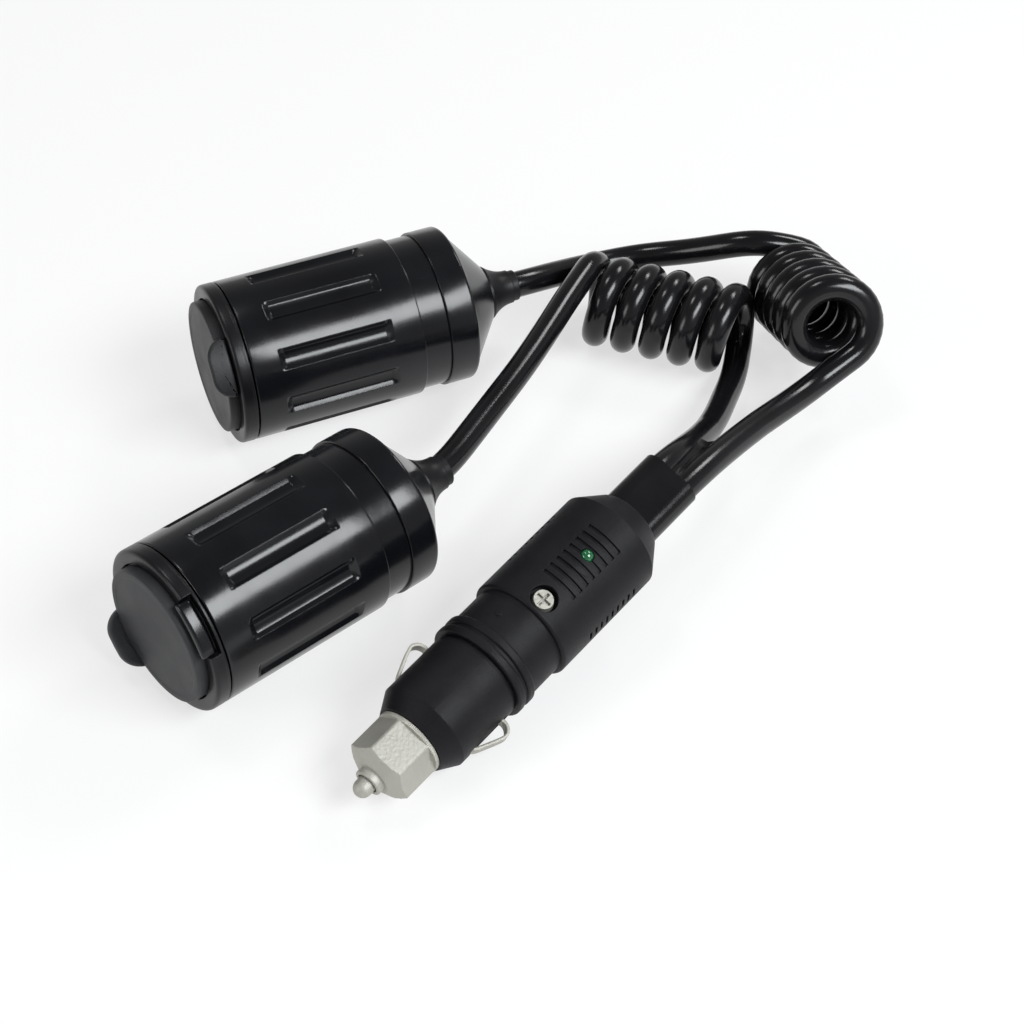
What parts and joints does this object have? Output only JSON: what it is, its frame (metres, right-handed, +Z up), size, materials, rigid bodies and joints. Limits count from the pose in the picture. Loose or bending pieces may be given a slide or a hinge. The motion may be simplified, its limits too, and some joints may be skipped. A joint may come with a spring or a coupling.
{
  "type": "vehicle power outlet splitter",
  "caption": "12 V vehicle power splitter: a fused plug with a pilot lamp, two ribbed sockets with tethered rubber caps, and two black curly cords",
  "frame": {"origin": "on the floor under the middle of the plug and the two sockets, the cords not counted", "axes": "+Z up; +X to the right and +Y away from the viewer in the picture, so the sockets and the plug point towards -X and -Y"},
  "size_m": [0.1684, 0.1684, 0.037],
  "materials": {
    "gloss_black": "glossy moulded black, slightly worn",
    "boot_rubber": "satin black moulded rubber",
    "cap_rubber": "matt dark grey moulded rubber",
    "insulator": "matt black insulating plastic",
    "tube_steel": "drawn nickelled steel",
    "nickel": "bright nickel plate on the turned and stamped parts",
    "brass": "plain stamped brass",
    "plug_black": "fine spark-eroded texture, matt to satin",
    "cord_black": "semi-gloss black flexible PVC",
    "wire_red": "insulated wire, live",
    "wire_black": "insulated wire, return",
    "lens_green": "clear green lens",
    "board_green": "coated circuit board",
    "fuse_glass": "glass fuse with plated ends"
  },
  "bodies": {
    "splitter": {"front_grip": "gloss_black", "front_end_cover": "gloss_black", "front_boot": "boot_rubber", "front_housing": "insulator", "front_contact_tube": "tube_steel", "front_centre_contact": "brass", "front_centre_terminal": "brass", "front_tube_terminal": "brass", "front_live_wire": "wire_red", "front_return_wire": "wire_black", "front_cap_ring": "boot_rubber", "rear_grip": "gloss_black", "rear_end_cover": "gloss_black", "rear_boot": "boot_rubber", "rear_housing": "insulator", "rear_contact_tube": "tube_steel", "rear_centre_contact": "brass", "rear_centre_terminal": "brass", "rear_tube_terminal": "brass", "rear_live_wire": "wire_red", "rear_return_wire": "wire_black", "rear_cap_ring": "boot_rubber", "front_sleeve": "plug_black", "rear_terminal": "brass", "contact_ring": "brass", "ground_strap": "brass", "positive_strap": "brass", "ridge_ring": "plug_black", "upper_body": "plug_black", "lower_body": "plug_black", "body_screw": "nickel", "circuit_board": "board_green", "lamp_lens": "lens_green", "cord_sleeve": "cord_black", "left_live_wire": "wire_red", "left_return_wire": "wire_black", "right_live_wire": "wire_red", "right_return_wire": "wire_black", "lead_a": "cord_black", "coil_a": "cord_black", "tail_a": "cord_black", "lead_b": "cord_black", "coil_b": "cord_black", "tail_b": "cord_black"},
    "front_cap": {"front_cap": "cap_rubber"},
    "rear_cap": {"rear_cap": "cap_rubber"},
    "nut": {"tip_nut": "nickel"},
    "pin": {"contact_pin": "nickel", "fuse": "fuse_glass", "fuse_spring": "nickel"},
    "left_contact": {"left_side_contact": "nickel"},
    "right_contact": {"right_side_contact": "nickel"}
  },
  "joints": [
    {"name": "front_cap_hinge", "type": "hinge", "parent": "splitter", "child": "front_cap", "pos_m": [-0.03854, -0.05341, 0.03005], "axis": [-0.4286, 0.4967, 0.7547], "range_deg": [0, 140], "stiffness_Nm_per_rad": 0.003},
    {"name": "rear_cap_hinge", "type": "hinge", "parent": "splitter", "child": "rear_cap", "pos_m": [-0.04899, 0.05178, 0.00791], "axis": [0.2378, -0.5528, -0.7986], "range_deg": [0, 140], "stiffness_Nm_per_rad": 0.003},
    {"name": "pin_slide", "type": "slide", "parent": "splitter", "child": "pin", "axis": [0.6448, 0.7515, 0.1392], "range_m": [0, 0.003], "stiffness_N_per_m": 1200, "springref_m": -0.002, "deforming": ["fuse_spring"]},
    {"name": "nut_turn", "type": "hinge", "parent": "splitter", "child": "nut", "pos_m": [-0.00032, -0.06792, 0.00927], "axis": [0.6448, 0.7515, 0.1392], "continuous": true},
    {"name": "left_contact_hinge", "type": "hinge", "parent": "splitter", "child": "left_contact", "pos_m": [-0.001, -0.05749, 0.0136], "axis": [-0.2259, 0.3613, -0.9047], "range_deg": [0, 15.5], "stiffness_Nm_per_rad": 0.1, "springref_deg": -5.73},
    {"name": "right_contact_hinge", "type": "hinge", "parent": "splitter", "child": "right_contact", "pos_m": [0.01068, -0.06632, 0.00716], "axis": [0.2259, -0.3613, 0.9047], "range_deg": [0, 15.5], "stiffness_Nm_per_rad": 0.1, "springref_deg": -5.73}
  ]
}
